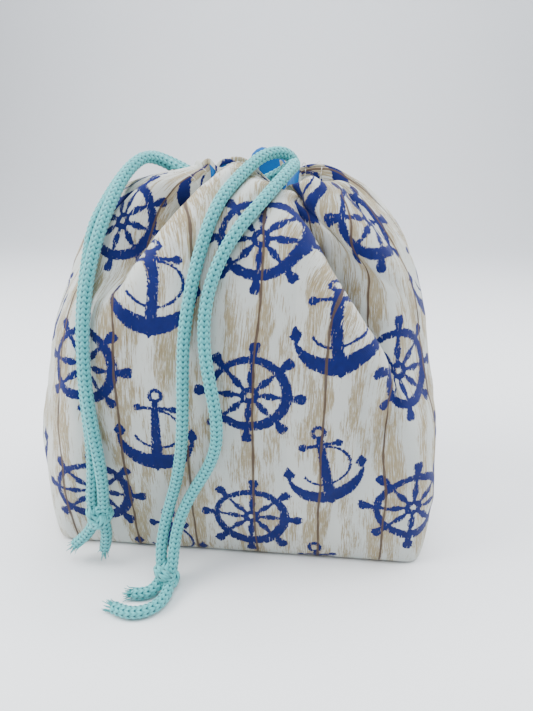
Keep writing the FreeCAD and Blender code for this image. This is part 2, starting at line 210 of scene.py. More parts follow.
RIGHT_FRONT = [(12, -9, 196.4), (17.5, -9, 198.6), (23.5, -9.6, 201.8), (28.6, -12.6, 205.0), (30.2, -18.2, 205.2),
               (27.4, -27.0, 201.8), (21.9, -37.0, 195.6), (15.2, -46.4, 187.6), (7.4, -53.2, 179.0),
               (0.4, -58.6, 168.0), (-4.9, -62.8, 155.2), (-7.6, -67.0, 141.0), (-7.4, -71.0, 126.0),
               (-4.8, -73.6, 110.5), (-2.2, -74.4, 95.0), (-2.4, -73.6, 79.5), (-7.2, -72.2, 65.5),
               (-14.6, -71.6, 53.0), (-21.2, -72.2, 40.5), (-25.0, -74.6, 28.4), (-26.1, -78.4, 18.6),
               (-26.4, -82.0, 10.4), (-27.2, -85.5, 5.6), (-26.6, -92.6, 3.6), (-29.6, -99.8, 3.2),
               (-36.4, -104.4, 3.1), (-44.6, -105.0, 3.2), (-51.2, -102.2, 3.4)]
RIGHT_BACK = [(12, 9, 197.8), (17.6, 9, 197.8), (24.0, 8.0, 199.2), (28.6, 4.0, 202.6), (29.0, -1.8, 206.4),
              (25.0, -7.2, 210.4), (19.4, -12.6, 211.0), (13.6, -18.8, 208.6), (8.4, -26.0, 204.0),
              (3.2, -33.8, 198.2), (-2.0, -43.0, 191.4), (-6.2, -51.2, 181.8), (-9.6, -55.8, 171.0),
              (-12.4, -61.0, 159.4), (-15.0, -65.6, 146.0), (-17.0, -69.8, 130.0), (-17.6, -73.0, 111.5),
              (-18.4, -74.0, 92.0), (-20.4, -73.2, 73.5), (-24.0, -72.0, 56.5), (-28.6, -71.8, 41.5),
              (-32.0, -74.0, 28.2), (-33.0, -77.8, 18.0), (-32.0, -82.0, 10.2), (-31.6, -86.0, 5.6),
              (-34.4, -90.6, 3.9), (-38.6, -93.0, 3.2), (-44.8, -93.4, 3.2)]
LEFT_KNOT = (-66.6, -72.4, 33.6)
RIGHT_KNOT = (-29.2, -83.4, 7.3)


def smooth_line(route, closed=False):
    """Points along the NURBS spline that has the route as its control points, in millimetres."""
    curve = bpy.data.curves.new("line", "CURVE")
    curve.dimensions = "3D"
    curve.resolution_u = 12
    spline = curve.splines.new("NURBS")
    spline.points.add(len(route) - 1)
    for point, place in zip(spline.points, route):
        point.co = (place[0] * MM, place[1] * MM, place[2] * MM, 1.0)
    spline.order_u = 3
    spline.use_cyclic_u = closed
    spline.use_endpoint_u = not closed
    holder = bpy.data.objects.new("line", curve)
    mesh = bpy.data.meshes.new_from_object(holder)
    points = np.array([v.co[:] for v in mesh.vertices]) / MM
    bpy.data.objects.remove(holder)
    bpy.data.meshes.remove(mesh)
    return points


def even_steps(points, step, closed=False):
    if closed:
        points = np.vstack([points, points[:1]])
    run = np.concatenate([[0.0], np.cumsum(np.linalg.norm(np.diff(points, axis=0), axis=1))])
    count = max(4, int(round(run[-1] / step)))
    marks = np.linspace(0.0, run[-1], count + 1)
    spaced = np.column_stack([np.interp(marks, run, points[:, axis]) for axis in range(3)])
    return spaced, run[-1]


CORD_LINES = {name: smooth_line(route) for name, route in
              (("left_front", LEFT_FRONT), ("left_back", LEFT_BACK),
               ("right_front", RIGHT_FRONT), ("right_back", RIGHT_BACK))}
for name, line in CORD_LINES.items():
    print(name, "cord is", round(even_steps(line, 1.0)[1]), "mm long")

# %% [markdown]
# ## The knitted tube
# A grid is rolled round the line: one way of the grid goes round the cord and the other along it. Its frame is carried
# along without twisting. Each point then moves in or out by the height of the knitting there, so the V-shaped legs
# of the stitches stand out in the outline too. The two long edges meet, and merging them closes the tube.


# %% Knitted tube
def stitch_height(around, along):
    across = (around * STITCH_COLUMNS) % 1.0 - 0.5
    leg = (along / STITCH_TALL - 1.1 * np.abs(across)) % 1.0 - 0.5
    return 0.42 * np.cos(math.pi * across) * (0.5 + 0.5 * np.cos(2 * math.pi * leg)) - 0.2


def knitted_tube(name, line, radius=CORD / 2, step=0.5, sides=36, closed=False, start=0.0):
    """A closed mesh tube round the line, with a map of its own: across 0 to 1, along in metres."""
    path, length = even_steps(line, step, closed)
    rings = len(path)
    bpy.ops.object.select_all(action="DESELECT")
    bpy.ops.mesh.primitive_grid_add(x_subdivisions=sides, y_subdivisions=rings - 1, size=2, calc_uvs=True)
    tube = bpy.context.object
    tube.name = name
    mesh = tube.data
    flat = np.array([v.co[:2] for v in mesh.vertices])
    column = np.rint((flat[:, 0] + 1) / 2 * sides).astype(int)
    row = np.rint((flat[:, 1] + 1) / 2 * (rings - 1)).astype(int)
    ahead = np.gradient(path, axis=0)
    if closed:
        ahead[0] = ahead[-1] = path[1] - path[-2]
    ahead /= np.linalg.norm(ahead, axis=1)[:, None]
    side = np.zeros_like(path)
    first = np.cross(ahead[0], (0.0, 0.0, 1.0) if abs(ahead[0][2]) < 0.9 else (0.0, 1.0, 0.0))
    side[0] = first / np.linalg.norm(first)
    for i in range(1, rings):
        carried = side[i - 1] - ahead[i] * side[i - 1].dot(ahead[i])
        side[i] = carried / np.linalg.norm(carried)
    up = np.cross(ahead, side)
    turn_back = 0.0
    if closed:
        turn_back = math.atan2(side[-1].dot(up[0]), side[-1].dot(side[0]))
    around = column / sides
    along = row / (rings - 1) * length + start
    angle = 2 * math.pi * around - turn_back * row / (rings - 1)
    reach = radius - 0.1 + stitch_height(around, along)
    if not closed:
        ends = np.minimum(row, rings - 1 - row) * length / (rings - 1)
        reach = reach * np.sqrt(np.clip(1 - (1 - np.clip(ends / 1.6, 0.0, 1.0)) ** 2, 0.03, 1.0))
    places = path[row] + (side[row] * np.cos(angle)[:, None] + up[row] * np.sin(angle)[:, None]) * reach[:, None]
    mesh.vertices.foreach_set("co", (places * MM).ravel())
    layer = mesh.uv_layers.active.data
    for loop in mesh.loops:
        layer[loop.index].uv = (around[loop.vertex_index], along[loop.vertex_index] * MM)
    close_tube(tube, closed)
    return tube, length


def close_tube(tube, closed):
    select_only(tube)
    bpy.ops.object.mode_set(mode="EDIT")
    bpy.ops.mesh.select_all(action="SELECT")
    bpy.ops.mesh.remove_doubles(threshold=0.000004)
    if not closed:
        bpy.ops.mesh.select_all(action="DESELECT")
        bpy.ops.mesh.select_non_manifold(extend=False)
        bpy.ops.mesh.fill_holes(sides=0)
    bpy.ops.mesh.select_all(action="SELECT")
    bpy.ops.mesh.normals_make_consistent(inside=False)
    bpy.ops.object.mode_set(mode="OBJECT")


# %% [markdown]
# ## Frayed ends
# The cord was cut without a seal, so its last millimetres come apart into loose yarns. Each is a thin curved tube that
# leaves the end at its own slight angle. They are one piece beside their cord, and move with its knot.


# %% Frayed ends
def frayed_end(name, line, seed, body):
    pick = random.Random(seed)
    tip, back = Vector(line[-1]), Vector(line[-8])
    ahead = (tip - back).normalized()
    yarns = []
    for _ in range(26):
        out = Vector((pick.uniform(-1, 1), pick.uniform(-1, 1), pick.uniform(-1, 1)))
        out -= ahead * out.dot(ahead)
        out = out.normalized() * pick.uniform(0.2, 2.5)
        spread = out * pick.uniform(0.25, 0.8)
        long = pick.uniform(1.6, 4.6)
        middle = tip + out + ahead * long * 0.5 + spread * 0.3
        end = tip + out + ahead * long + spread
        for place in (middle, end):
            place.z = max(place.z, 0.45)
        bpy.ops.object.select_all(action="DESELECT")
        bpy.ops.mesh.primitive_cylinder_add(vertices=6, radius=1.0, depth=2.0)
        yarn = bpy.context.object
        bpy.ops.object.mode_set(mode="EDIT")
        bpy.ops.mesh.select_all(action="SELECT")
        bpy.ops.mesh.subdivide(number_cuts=1)
        bpy.ops.object.mode_set(mode="OBJECT")
        root = tip + out - ahead * 2.6
        side = ahead.orthogonal().normalized()
        up = ahead.cross(side)
        for vertex in yarn.data.vertices:
            share = (vertex.co.z + 1) / 2
            spine = root.lerp(middle, share * 2) if share < 0.5 else middle.lerp(end, share * 2 - 1)
            thick = 0.36 * (1 - 0.55 * share)
            vertex.co = (spine + (side * vertex.co.x + up * vertex.co.y) * thick) * MM
        for loop in yarn.data.loops:
            yarn.data.uv_layers.active.data[loop.index].uv = (0.07, pick.uniform(0.0, 0.0008))
        yarns.append(yarn)
        yarn.data.uv_layers.active.name = "UVMap"
    select_only(*yarns)
    bpy.ops.object.join()
    tuft = bpy.context.object
    tuft.name = name
    bpy.ops.object.transform_apply(location=True, rotation=True, scale=True)
    finish_piece(tuft, cord_finish)
    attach(tuft, body)
    return tuft


cords = {}
for number, (name, line) in enumerate(CORD_LINES.items()):
    cords[name], length = knitted_tube("knitted_cord_" + name, line)
    finish_piece(cords[name], cord_finish)
    end = "left_cord_end" if name.startswith("left") else "right_cord_end"
    frayed_end("frayed_end_" + name, line, 40 + number, end)
    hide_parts(name + "_strand", name + "_tail")
    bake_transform(cords[name])
    print(name, "cord has", len(cords[name].data.polygons), "faces")

# %% [markdown]
# ## Knots
# Both strands of a cord are tied together in one overhand knot. Pulled tight, it is a lump of three fat loops that
# go over and under each other, which is the shape of a small closed trefoil. It is tied from the same knitted tube.


# %% Knots
def tied_knot(name, centre, tilt, turn, wide, tall):
    """A tight trefoil of cord about the centre. tilt and turn, in degrees, say how the lump lies."""
    line = []
    for i in range(24):
        t = 2 * math.pi * i / 24
        reach = 3.0 + 1.55 * math.cos(3 * t)
        line.append((reach * math.cos(2 * t), reach * math.sin(2 * t), 2.4 * math.sin(3 * t)))
    knot, _ = knitted_tube(name, smooth_line(line, closed=True), radius=2.75, closed=True)
    select_only(knot)
    knot.rotation_euler = (math.radians(tilt), 0.0, math.radians(turn))
    bpy.ops.object.transform_apply(location=False, rotation=True, scale=True)
    size = np.array([v.co[:] for v in knot.data.vertices])
    low, high = size.min(axis=0), size.max(axis=0)
    knot.scale = (wide * MM / (high[0] - low[0]), wide * MM / (high[1] - low[1]), tall * MM / (high[2] - low[2]))
    knot.location = [c * MM for c in centre]
    bpy.ops.object.transform_apply(location=True, rotation=True, scale=True)
    finish_piece(knot, cord_finish)
    return knot


left_knot = tied_knot("left_cord_knot", LEFT_KNOT, 62, 20, 13.6, 14.2)
right_knot = tied_knot("right_cord_knot", RIGHT_KNOT, 50, 75, 13.6, 14.2)
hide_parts("left_knot")
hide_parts("right_knot")
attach(left_knot, "left_cord_end")
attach(right_knot, "right_cord_end")
print("two knots of", len(left_knot.data.polygons), "faces each")

# %% [markdown]
# ## The printed cloth's finish
# The cloth is a plain-woven cotton with a print of white-washed planks, ship's wheels and anchors. The print repeats,
# so it is drawn on the cloth's own map, in millimetres of flat cloth: the map's place is folded into one cell of the
# repeat with a modulo, and each motif is drawn once, by its distance from a few circles and lines. Noise moves that
# place by a fraction of a millimetre, which gives the ink the worn edge of a dry brush.

# %% Printed cotton finish
PLANK = 33.4
FRONT_WIDE = 298.0
CLOTH_TALL = 230.0


def printed_cotton_finish():
    material, tree, shader = new_material("plain woven cotton, printed", 0.82, 0.08)
    shader.inputs["Specular IOR Level"].default_value = 0.2

    def stretched(sideways, upwards, shift=0.0):
        return add(tree, "CombineXYZ", add(tree, "Math MULTIPLY", flat_u, sideways), add(tree, "Math MULTIPLY",
                flat_v, upwards), shift)

    place = add(tree, "UVMap", uv_map="UVMap")
    split = add(tree, "VectorMath", place, (1000.0, 1000.0, 0.0), operation="MULTIPLY")
    flat_u = add(tree, "SeparateXYZ", split, output=0)
    flat_v = add(tree, "SeparateXYZ", split, output=1)

    wobble = add(tree, "VectorMath", add(tree, "TexNoise", split, output=1, named={"Scale": 0.9, "Detail": 3.0}),
                 (0.5, 0.5, 0.5), operation="SUBTRACT")
    ragged = add(tree, "VectorMath", split, add(tree, "VectorMath", wobble, (2.0, 2.0, 0.0), operation="MULTIPLY"),
                 operation="ADD")
    ink_u = add(tree, "SeparateXYZ", ragged, output=0)
    ink_v = add(tree, "SeparateXYZ", ragged, output=1)

    def fold(value, first, every):
        """The distance from the nearest of the places first, first + every, and so on, and the number of that place."""
        shifted = add(tree, "Math ADD", value, every / 2 - first)
        number = add(tree, "Math FLOOR", add(tree, "Math DIVIDE", shifted, every))
        return add(tree, "Math SUBTRACT", add(tree, "Math FLOORED_MODULO", shifted, every), every / 2), number

    # planks: a wavering brown joint every 33.4 mm, and tan grain that crowds to the joints
    waver = add(tree, "Math MULTIPLY", add(tree, "Math SUBTRACT", add(tree, "TexNoise", stretched(0.02, 0.025), None,
            1.0, 3.0, 0.5), 0.5), 3.0)
    from_joint, plank = fold(add(tree, "Math ADD", flat_u, waver), 163.0, PLANK)
    near = add(tree, "Math ABSOLUTE", from_joint)
    joint_wide = add(tree, "MapRange", add(tree, "TexNoise", stretched(0.05, 0.11, 3.0), None, 1.0, 3.0, 0.5), 0.3,
            0.7, 0.32, 0.72)
    joint = add(tree, "Math SUBTRACT", 1.0, add(tree, "MapRange", add(tree, "Math SUBTRACT", near, joint_wide), -0.05,
            0.2))
    joint_edge = add(tree, "Math SUBTRACT", 1.0, add(tree, "MapRange", add(tree, "Math SUBTRACT", near, joint_wide),
            0.1, 1.1))
    grain = add(tree, "TexNoise", stretched(1.35, 0.075), None, 1.0, 6.0, 0.74)
    fine_grain = add(tree, "TexNoise", stretched(2.9, 0.15, 5.0), None, 1.0, 4.0, 0.62)
    patches = add(tree, "TexNoise", stretched(0.13, 0.028, 8.0), None, 1.0, 2.0, 0.5)
    by_joint = add(tree, "Math MULTIPLY", add(tree, "MapRange", near, 0.5, 10.0, 0.13, 0.0), add(tree, "MapRange",
            patches, 0.32, 0.5))
    tan_level = add(tree, "Math ADD", add(tree, "Math ADD", grain, by_joint), add(tree, "Math MULTIPLY", add(tree,
            "Math SUBTRACT", patches, 0.5), 0.75))
    tan = add(tree, "Math MULTIPLY", add(tree, "MapRange", tan_level, 0.535, 0.555), add(tree, "MapRange", fine_grain,
            0.40, 0.47, 0.15, 1.0))
    lines = add(tree, "Math MULTIPLY", add(tree, "MapRange", fine_grain, 0.60, 0.64), add(tree, "MapRange", patches,
            0.42, 0.54))
    plank_tint = add(tree, "TexWhiteNoise", named={"W": plank}, noise_dimensions="1D", output=0)
    wash = add(tree, "MixRGB", plank_tint, linear("#C7CAC5"), linear("#BDC2BE"))
    soft_tan = add(tree, "MixRGB", add(tree, "TexNoise", stretched(0.09, 0.02, 2.0), None, 1.0, 3.0, 0.5),
            linear("#A39676"), linear("#857450"))
    board = add(tree, "MixRGB", add(tree, "Math MULTIPLY", tan, 0.92), wash, soft_tan)
    board = add(tree, "MixRGB", add(tree, "Math MULTIPLY", lines, 0.75), board, linear("#7F6C4C"))
    board = add(tree, "MixRGB", add(tree, "Math MULTIPLY", joint_edge, 0.4), board, linear("#9A8A70"))

    # ship's wheel: rim, hub, eight lens-shaped spokes and eight turned handles
    cell_u, cell = fold(ink_u, 163.0 - 0.05 * PLANK, 2.5 * PLANK)
    odd = add(tree, "Math FLOORED_MODULO", cell, 2.0)
    cell_v, _ = fold(add(tree, "Math SUBTRACT", ink_v, add(tree, "Math MULTIPLY", odd, 0.30 * PLANK)), 0.90 * PLANK,
            2.2 * PLANK)
    cell_u, cell_v = add(tree, "Math MULTIPLY", cell_u, 0.92), add(tree, "Math MULTIPLY", cell_v, 0.92)
    reach = add(tree, "Math SQRT", add(tree, "Math ADD", add(tree, "Math POWER", cell_u, 2.0), add(tree, "Math POWER",
            add(tree, "Math MULTIPLY", cell_v, 1.04), 2.0)))
    bearing = add(tree, "Math ADD", add(tree, "Math ARCTAN2", cell_v, cell_u), 0.06)
    slice_angle = add(tree, "Math SUBTRACT", add(tree, "Math FLOORED_MODULO", add(tree, "Math ADD", bearing,
            math.pi / 8), math.pi / 4), math.pi / 8)
    off_spoke = add(tree, "Math MULTIPLY", reach, add(tree, "Math ABSOLUTE", add(tree, "Math SINE", slice_angle)))
    profile = tree.nodes.new("ShaderNodeFloatCurve")
    curve = profile.mapping.curves[0]
    for x, y in ((0.0, 0.95), (0.155, 0.95), (0.17, 0.18), (0.36, 0.34), (0.54, 0.17), (0.70, 0.32), (0.77, 0.32),
                 (0.83, 0.40), (0.90, 0.50), (0.96, 0.46), (0.985, 0.3), (0.999, 0.0)):
        curve.points.new(x, y)
    curve.points.remove(curve.points[0])
    curve.points.remove(curve.points[len(curve.points) - 1])
    profile.mapping.update()
    tree.links.new(add(tree, "Math DIVIDE", reach, 25.0), profile.inputs["Value"])
    half_wide = add(tree, "Math MULTIPLY", profile.outputs["Value"], 5.0)
    spokes = add(tree, "Math MAXIMUM", add(tree, "Math SUBTRACT", off_spoke, half_wide), add(tree, "Math SUBTRACT",
            reach, 24.7))
    inner_u = add(tree, "Math ADD", cell_u, 0.9)
    inner_v = add(tree, "Math SUBTRACT", add(tree, "Math MULTIPLY", cell_v, 1.06), 0.7)
    inner = add(tree, "Math SQRT", add(tree, "Math ADD", add(tree, "Math POWER", inner_u, 2.0), add(tree,
            "Math POWER", inner_v, 2.0)))
    rim = add(tree, "Math MAXIMUM", add(tree, "Math SUBTRACT", reach, 18.6), add(tree, "Math SUBTRACT", 14.7, inner))
    wheel = add(tree, "Math MAXIMUM", add(tree, "Math MINIMUM", spokes, rim), add(tree, "Math SUBTRACT", 1.4, reach))

    # anchor: ring, stock with ball ends, shank, thick crescent arms with flukes, and a loop of rope
    anchor_u0, number = fold(ink_u, 163.0 - 1.46 * PLANK, 2.53 * PLANK)
    odd = add(tree, "Math FLOORED_MODULO", number, 2.0)
    anchor_v0, _ = fold(add(tree, "Math ADD", ink_v, add(tree, "Math MULTIPLY", odd, 0.49 * PLANK)), 0.20 * PLANK,
            2.2 * PLANK)
    tilt = add(tree, "Math ADD", add(tree, "Math MULTIPLY", odd, -0.26), 0.06)
    cosine, sine = add(tree, "Math COSINE", tilt), add(tree, "Math SINE", tilt)
    a_u = add(tree, "Math SUBTRACT", add(tree, "Math MULTIPLY", anchor_u0, cosine), add(tree, "Math MULTIPLY",
            anchor_v0, sine))
    a_v = add(tree, "Math ADD", add(tree, "Math MULTIPLY", anchor_u0, sine), add(tree, "Math MULTIPLY", anchor_v0,
            cosine))
    mirror_u = add(tree, "Math ABSOLUTE", a_u)

    def ring(u, v, centre_u, centre_v, radius, squash=1.0):
        du = add(tree, "Math SUBTRACT", u, centre_u)
        dv = add(tree, "Math MULTIPLY", add(tree, "Math SUBTRACT", v, centre_v), squash)
        return add(tree, "Math SUBTRACT", add(tree, "Math SQRT", add(tree, "Math ADD", add(tree, "Math POWER", du,
                2.0), add(tree, "Math POWER", dv, 2.0))), radius)

    eye = add(tree, "Math SUBTRACT", add(tree, "Math ABSOLUTE", ring(a_u, a_v, 0.0, 20.6, 2.9)), 1.0)
    stock = add(tree, "Math MAXIMUM", add(tree, "Math SUBTRACT", add(tree, "Math ABSOLUTE", add(tree, "Math SUBTRACT",
            a_v, 13.6)), 1.0),
                  add(tree, "Math SUBTRACT", mirror_u, 8.6))
    balls = ring(mirror_u, a_v, 8.8, 13.6, 2.1)
    shank_wide = add(tree, "MapRange", a_v, -18.0, 18.0, 3.1, 1.7)
    shank = add(tree, "Math MAXIMUM", add(tree, "Math SUBTRACT", mirror_u, shank_wide), add(tree, "Math SUBTRACT",
            add(tree, "Math ABSOLUTE", a_v), 18.2))
    arms = add(tree, "Math MAXIMUM", ring(a_u, a_v, 0.0, -3.0, 19.6), add(tree, "Math MULTIPLY", ring(a_u, a_v, 0.0,
            7.6, 21.6), -1.0))
    fluke_u = add(tree, "Math ABSOLUTE", add(tree, "Math SUBTRACT", mirror_u, 18.2))
    fluke_v = add(tree, "Math ABSOLUTE", add(tree, "Math ADD", a_v, 0.6))
    flukes = add(tree, "Math SUBTRACT", add(tree, "Math ADD", add(tree, "Math MULTIPLY", fluke_u, 1.15), add(tree,
            "Math MULTIPLY", fluke_v, 0.8)), 3.7)
    crown = add(tree, "Math SUBTRACT", add(tree, "Math ADD", mirror_u, add(tree, "Math ABSOLUTE", add(tree,
            "Math ADD", a_v, 20.8))), 3.4)
    rope = add(tree, "Math SUBTRACT", add(tree, "Math ABSOLUTE", ring(a_u, a_v, 0.6, 1.4, 12.2, 1.12)), 0.75)
    rope_kept = add(tree, "Math MAXIMUM", rope, add(tree, "Math SUBTRACT", -9.0, add(tree, "Math SUBTRACT", a_u,
            add(tree, "Math MULTIPLY", a_v, 0.7))))
    anchor = eye
    for part in (stock, balls, shank, arms, flukes, crown, rope_kept):
        anchor = add(tree, "Math MINIMUM", anchor, part)
    motif = add(tree, "Math MINIMUM", wheel, anchor)

    # dry ink: bare scratches that follow the grain, most of them near the motif's edge
    scratch = add(tree, "TexNoise", stretched(1.9, 0.22, 11.0), None, 1.0, 4.0, 0.65)
    dry = add(tree, "TexNoise", stretched(0.5, 0.3, 14.0), None, 1.0, 4.0, 0.6)
    bare = add(tree, "Math MULTIPLY", add(tree, "MapRange", scratch, 0.56, 0.66, 0.0, 2.6), add(tree, "MapRange", dry,
            0.42, 0.60))
    print_level = add(tree, "Math ADD", motif, bare)
    ink = add(tree, "MapRange", print_level, 0.22, -0.12)
    blue = add(tree, "MixRGB", add(tree, "TexNoise", stretched(0.35, 0.25, 17.0), None, 1.0, 3.0, 0.5),
            linear("#020D4A"), linear("#051968"))
    printed = add(tree, "MixRGB", ink, board, blue)
    printed = add(tree, "MixRGB", add(tree, "Math MULTIPLY", joint, 0.9), printed, linear("#4E3D33"))

    # weave: threads half a millimetre apart are finer than a picture shows, so they are drawn 0.8 mm apart
    warp = add(tree, "Math SINE", add(tree, "Math MULTIPLY", flat_u, 2 * math.pi / 0.8))
    weft = add(tree, "Math SINE", add(tree, "Math MULTIPLY", flat_v, 2 * math.pi / 0.8))
    weave = add(tree, "Math MULTIPLY", warp, weft)
    slub = add(tree, "TexNoise", split, None, 1.7, 4.0, 0.5)
    thread_height = add(tree, "Math ADD", add(tree, "Math MULTIPLY", weave, 0.5), slub)
    # painted shade and highlight: the colour is darkened on the low threads and lightened on the raised ones
    shade = add(tree, "MapRange", thread_height, 0.0, 1.0, 0.955, 1.03)
    cloth = add(tree, "VectorMath", printed, named={"Scale": shade}, operation="SCALE")
    tree.links.new(cloth, shader.inputs["Base Color"])
    bump = add(tree, "Bump", named={"Strength": 0.35, "Distance": 0.0002, "Height": thread_height})
    tree.links.new(bump, shader.inputs["Normal"])
    return material


print_finish = printed_cotton_finish()
print("print finish has", len(print_finish.node_tree.nodes), "nodes")


# %% [markdown]
# ## Plain finishes
# The lining is a bright blue plain-woven cotton, and the thread is off-white spun polyester. Both have only a fine
# weave or twist, read from the object's own place in space, so they need no map.

# %% Lining and thread finishes
def plain_weave_finish(name, dark, light, rough, threads_mm):
    material, tree, shader = new_material(name, rough, 0.2)
    place = add(tree, "TexCoord", output=3)
    fine = add(tree, "TexNoise", place, named={"Scale": 1000.0 / threads_mm, "Detail": 3.0})
    broad = add(tree, "TexNoise", place, named={"Scale": 45.0, "Detail": 2.0})
    mixed = add(tree, "Math", add(tree, "Math", fine, broad, operation="ADD"), 0.5, operation="MULTIPLY")
    colour = add(tree, "MixRGB", mixed, linear(dark), linear(light))
    tree.links.new(colour, shader.inputs["Base Color"])
    bump = add(tree, "Bump", named={"Strength": 0.3, "Distance": 0.0002, "Height": fine})
    tree.links.new(bump, shader.inputs["Normal"])
    return material


lining_finish = plain_weave_finish("plain woven cotton, dyed bright blue", "#004F9C", "#006DB8", 0.8, 0.8)
thread_finish = plain_weave_finish("spun polyester thread, off-white", "#C9C6BC", "#E6E4DC", 0.7, 0.4)

# %% [markdown]
# ## The bag's form
# Flat, the outer cloth is two panels 298 mm wide and 230 mm tall above the edge of the base. Drawn shut, it rises over
# a stuffed belly, rounds the shoulders and gathers to a small mouth. Every point of the cloth has a place on the flat
# cloth: u goes round the bag from the left seam past the front, and v goes up from the edge of the base. The form is
# worked out from those two numbers. Rounded outlines at several heights give the full belly and the small mouth, and
# the spare width is laid into a few deep folds that run up to the mouth. The lower outlines are up to 8% longer than
# the flat cloth, which real cotton wouldn't allow.

# %% Outlines of the form
#          v    z      wide  deep  corner  middle_x  middle_y
OUTLINES = ((0, 0.9, 207, 110, 8, 0.5, 0), (5, 4.0, 210, 113, 11, 0.5, 0), (25, 25.2, 219, 121, 22, 0, 0),
            (51, 50.3, 222, 128, 33, 0, 0), (78, 78, 218, 133, 42, 0, 0), (107, 106.4, 208, 136, 50, 0.5, 0),
            (148, 146.5, 188, 123, 53, 1.5, 0), (170, 166.0, 173, 108, 49, 1.5, 0), (186, 180.5, 155, 94, 44, 0.5, 0),
            (199, 191.5, 135, 79, 38, 0, 0), (210, 199.0, 109, 65, 31, 1, -1), (219, 203.6, 84, 51, 24, 3, -2),
            (226, 206.4, 64, 40, 18, 4, -3), (230, 207.6, 54, 33, 15, 5, -3.5))


def at_height(v):
    """Outline numbers at cloth height v, on a smooth line through the table."""
    table = np.array(OUTLINES, float)
    level = np.clip(v, 0.0, CLOTH_TALL)
    k = np.clip(np.searchsorted(table[:, 0], level, side="right") - 1, 0, len(table) - 2)
    slope = np.gradient(table[:, 1:], table[:, 0], axis=0)
    span = table[k + 1, 0] - table[k, 0]
    t = (level - table[k, 0]) / span
    t, span = t[..., None], span[..., None]
    return ((2 * t ** 3 - 3 * t ** 2 + 1) * table[k, 1:] + (t ** 3 - 2 * t ** 2 + t) * span * slope[k]
            + (3 * t ** 2 - 2 * t ** 3) * table[k + 1, 1:] + (t ** 3 - t ** 2) * span * slope[k + 1])


def round_outline(share, wide, deep, corner):
    """Place on a rounded rectangle, counted from the middle of the left side past the front."""
    half_w, half_d = wide / 2, deep / 2
    sides = [half_d - corner, math.pi / 2 * corner, wide - 2 * corner, math.pi / 2 * corner, deep - 2 * corner,
             math.pi / 2 * corner, wide - 2 * corner, math.pi / 2 * corner, half_d - corner]
    walked = share * sum(sides)
    x = np.full_like(walked, 0.0) - half_w
    y = -np.minimum(walked, sides[0])
    start = sides[0]
    bends = ((1, -half_w + corner, -half_d + corner, math.pi), (3, half_w - corner, -half_d + corner, 1.5 * math.pi),
             (5, half_w - corner, half_d - corner, 0.0), (7, -half_w + corner, half_d - corner, 0.5 * math.pi))
    for n, centre_x, centre_y, begin in bends:
        past = walked - start
        angle = begin + np.clip(past / np.maximum(corner, 0.01), 0.0, math.pi / 2)
        inside = past > 0
        x = np.where(inside, centre_x + corner * np.cos(angle), x)
        y = np.where(inside, centre_y + corner * np.sin(angle), y)
        past = past - sides[n]
        run = np.clip(past, 0.0, sides[n + 1])
        onward = {1: (1, 0), 3: (0, 1), 5: (-1, 0), 7: (0, -1)}[n]
        x = np.where(past > 0, x + onward[0] * run, x)
        y = np.where(past > 0, y + onward[1] * run, y)
        start = start + sides[n] + sides[n + 1]
    return x, y


def outline_length(wide, deep, corner):
    return 2 * (wide + deep) - 8 * corner + 2 * math.pi * corner


print("full round at the belly", round(outline_length(218, 128, 44)), "mm, at the mouth", round(outline_length(52, 32,
        14)), "mm")

# %% [markdown]
# ## Folds
# A fold is a line on the flat cloth, given as places (v, u, depth in mm). One side of it is the edge of a flap and
# drops steeply, and the other side rises gently out of the hollow. The cloth is crowded together in the fold, which
# hides the spare width, and the print stays undistorted on the flap between the two deepest folds, as it does on
# the real bag.

# %% Fold table
#        name          reach on the low-u side, on the high-u side, then the line
FOLDS = (("left of the flap", 30, 6, ((232, 136, 13), (222, 133, 19), (207, 126, 23), (190, 117, 22), (172, 107, 17),
                                      (158, 99, 9), (146, 91, 2), (136, 86, 0))),
         ("pocket by the mouth", 6, 13, ((232, 165, 13), (224, 167, 18), (214, 172, 17), (205, 177, 9), (196, 182, 3),
                                        (186, 186, 0))),
         ("right of the flap", 7, 30, ((206, 166, 0), (196, 174, 4), (184, 183, 13), (170, 193, 20), (155, 204, 20),
                                       (138, 216, 15), (120, 230, 9), (100, 240, 4), (80, 246, 0))),
         ("under the right roll", 15, 13, ((214, 181, 4), (203, 194, 7), (189, 209, 8), (172, 225, 7), (154, 243, 4),
                                          (136, 256, 2), (120, 262, 0))),
         ("down the right side", 11, 9, ((125, 236, 2), (104, 233, 5), (82, 228, 5), (58, 219, 4), (36, 208, 3),
                                         (12, 200, 0))),
         ("behind the left cord", 12, 15, ((232, 66, 10), (214, 58, 10), (196, 50, 9), (174, 44, 5), (152, 40, 3),
                                           (128, 38, 0))),
         ("left shoulder", 13, 9, ((232, 28, 9), (208, 22, 8), (188, 17, 5), (160, 12, 3), (132, 10, 0))),
         ("right shoulder", 11, 13, ((232, 236, 10), (210, 246, 9), (190, 254, 6), (160, 262, 3), (130, 266, 0))),
         ("right end", 10, 12, ((232, 274, 9), (210, 281, 7), (188, 286, 4), (160, 290, 2), (140, 292, 0))),
         ("back, first", 8, 18, ((232, 338, 11), (210, 330, 12), (186, 322, 9), (158, 318, 5), (120, 314, 2), (96,
                 312, 0))),
         ("back, second", 16, 7, ((232, 382, 12), (210, 376, 13), (188, 366, 11), (160, 356, 7), (128, 350, 3),
                                  (100, 346, 0))),
         ("back, third", 12, 16, ((232, 428, 12), (212, 432, 12), (190, 434, 9), (164, 436, 4), (140, 438, 0))),
         ("back, fourth", 7, 18, ((232, 474, 12), (210, 482, 13), (186, 494, 11), (158, 506, 8), (126, 516, 4),
                                  (92, 522, 0))),
         ("back, fifth", 14, 8, ((232, 536, 10), (210, 544, 11), (186, 552, 8), (158, 558, 4), (126, 562, 0))))


